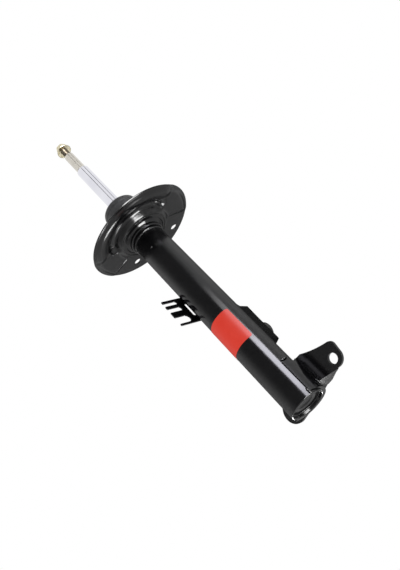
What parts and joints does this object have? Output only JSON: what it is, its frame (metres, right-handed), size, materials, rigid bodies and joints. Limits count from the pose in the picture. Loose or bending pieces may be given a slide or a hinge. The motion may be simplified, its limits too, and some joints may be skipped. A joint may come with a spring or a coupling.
{
  "type": "suspension strut",
  "caption": "Front suspension strut: damper tube with a tilted spring seat, knuckle and hose brackets, a bump cap and a chromed rod that slides and turns.",
  "frame": {"origin": "centre of the tube's lower end face", "axes": "+Z along the strut's axis towards the rod; +Y towards the side that bolts to the knuckle; +X towards the long ear"},
  "size_m": [0.1792, 0.178, 0.645],
  "materials": {
    "black_paint": "gloss black paint",
    "dark_plastic": "grained matte plastic",
    "red_label": "satin film",
    "hard_chrome": "polished hard chrome, with a ground neck",
    "yellow_zinc": "yellow passivated zinc plate",
    "bare_steel": "bare turned steel",
    "sintered_steel": "sintered grey",
    "black_rubber": "moulded matte",
    "slide_lining": "filled low-friction lining",
    "nylon": "moulded nylon"
  },
  "bodies": {
    "root": {"outer_tube": "black_paint", "base_cap": "black_paint", "inner_tube": "bare_steel", "rod_guide": "sintered_steel", "guide_bush": "slide_lining", "rod_seal": "black_rubber", "seal_spring": "bare_steel", "seal_cover": "bare_steel", "foot_valve_body": "sintered_steel", "foot_valve_discs": "bare_steel", "intake_plate": "bare_steel", "intake_spring": "bare_steel", "foot_valve_rivet": "bare_steel", "top_cap": "dark_plastic", "spring_seat": "black_paint", "seat_collar": "black_paint", "label": "red_label", "hose_bracket": "black_paint", "upper_bracket": "black_paint", "upper_boss": "black_paint", "knuckle_wrap": "black_paint", "long_ear": "black_paint", "short_ear": "black_paint"},
    "band": {"piston_band": "slide_lining"},
    "rod": {"piston_rod": "hard_chrome", "rebound_stop": "bare_steel", "rebound_buffer": "black_rubber", "upper_washer": "bare_steel", "compression_discs": "bare_steel", "piston": "sintered_steel", "rebound_discs": "bare_steel", "piston_nut": "bare_steel", "top_nut": "yellow_zinc", "nut_insert": "nylon"}
  },
  "joints": [
    {"name": "rod_stroke", "type": "slide", "parent": "root", "child": "band", "axis": [0, 0, 1], "range_m": [-0.128, 0], "stiffness_N_per_m": 200, "springref_m": 1},
    {"name": "rod_rotation", "type": "hinge", "parent": "band", "child": "rod", "pos_m": [0, 0, 0], "axis": [0, 0, 1], "continuous": true}
  ]
}
